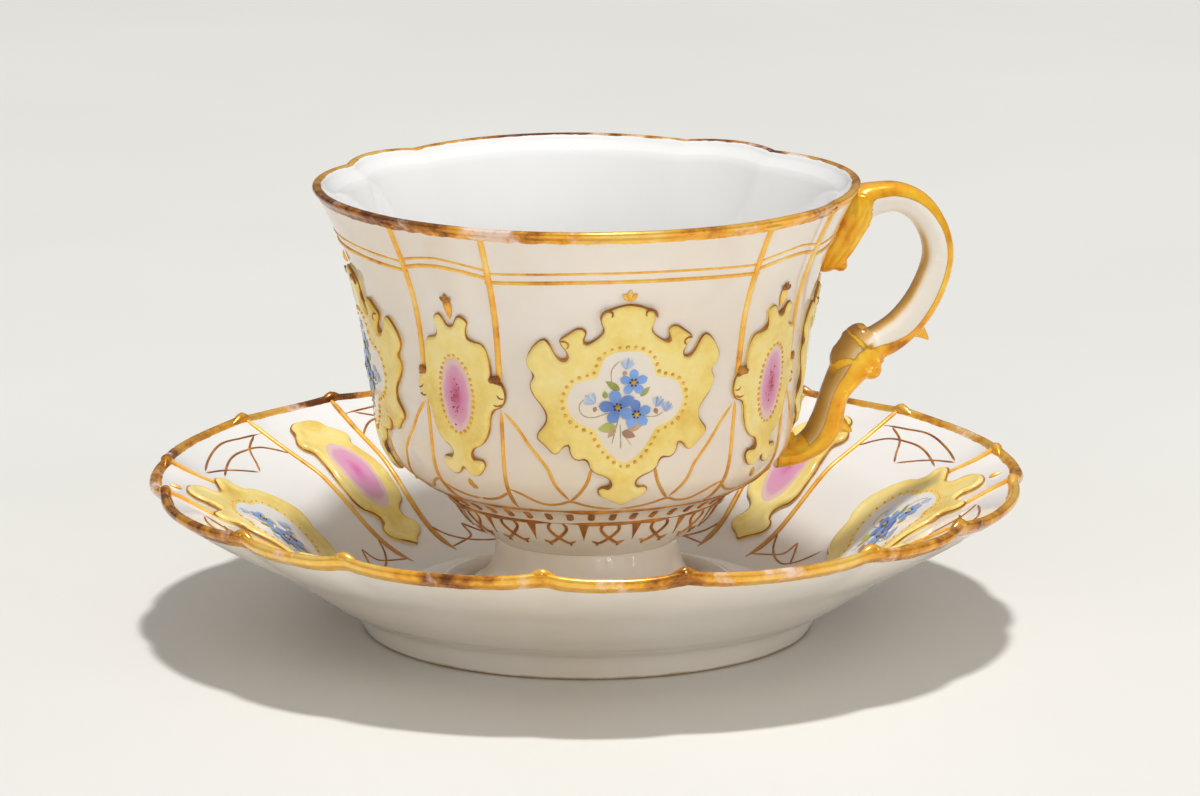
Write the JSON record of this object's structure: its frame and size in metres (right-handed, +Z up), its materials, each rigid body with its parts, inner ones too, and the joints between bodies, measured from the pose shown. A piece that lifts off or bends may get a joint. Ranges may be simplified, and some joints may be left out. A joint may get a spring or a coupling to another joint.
{
  "type": "teacup with saucer",
  "caption": "Panelled porcelain teacup on a flared foot with a scrolled gilt handle, standing in the well of a lobed saucer; cup and saucer carry raised cartouches.",
  "frame": {"origin": "centre of the saucer's foot ring, on the surface it stands on", "axes": "+Z up along the axis of saucer and cup, +X towards the cup's handle"},
  "size_m": [0.1502, 0.1502, 0.078],
  "materials": {
    "porcelain": "clear gloss glaze",
    "yellow_glaze": "pale yellow gloss glaze with brown shading",
    "gilding": "burnished gilding on glazed porcelain"
  },
  "bodies": {
    "saucer": {"saucer_body": "porcelain", "saucer_flower_cartouche_right": "yellow_glaze", "saucer_flower_cartouche_back": "yellow_glaze", "saucer_flower_cartouche_left": "yellow_glaze", "saucer_flower_cartouche_front": "yellow_glaze", "saucer_oval_cartouche_back_right": "yellow_glaze", "saucer_oval_cartouche_back_left": "yellow_glaze", "saucer_oval_cartouche_front_left": "yellow_glaze", "saucer_oval_cartouche_front_right": "yellow_glaze"},
    "cup": {"cup_bowl": "porcelain", "cup_foot": "porcelain", "cup_handle": "gilding", "cup_flower_cartouche_back": "yellow_glaze", "cup_flower_cartouche_left": "yellow_glaze", "cup_flower_cartouche_front": "yellow_glaze", "cup_flower_cartouche_handle": "yellow_glaze", "cup_oval_cartouche_back_right": "yellow_glaze", "cup_oval_cartouche_back_left": "yellow_glaze", "cup_oval_cartouche_front_left": "yellow_glaze", "cup_oval_cartouche_front_right": "yellow_glaze"}
  },
  "joints": [
    {"name": "cup_lift", "type": "slide", "parent": "saucer", "child": "cup", "axis": [0, 0, 1], "range_m": [0, 0.08]}
  ]
}
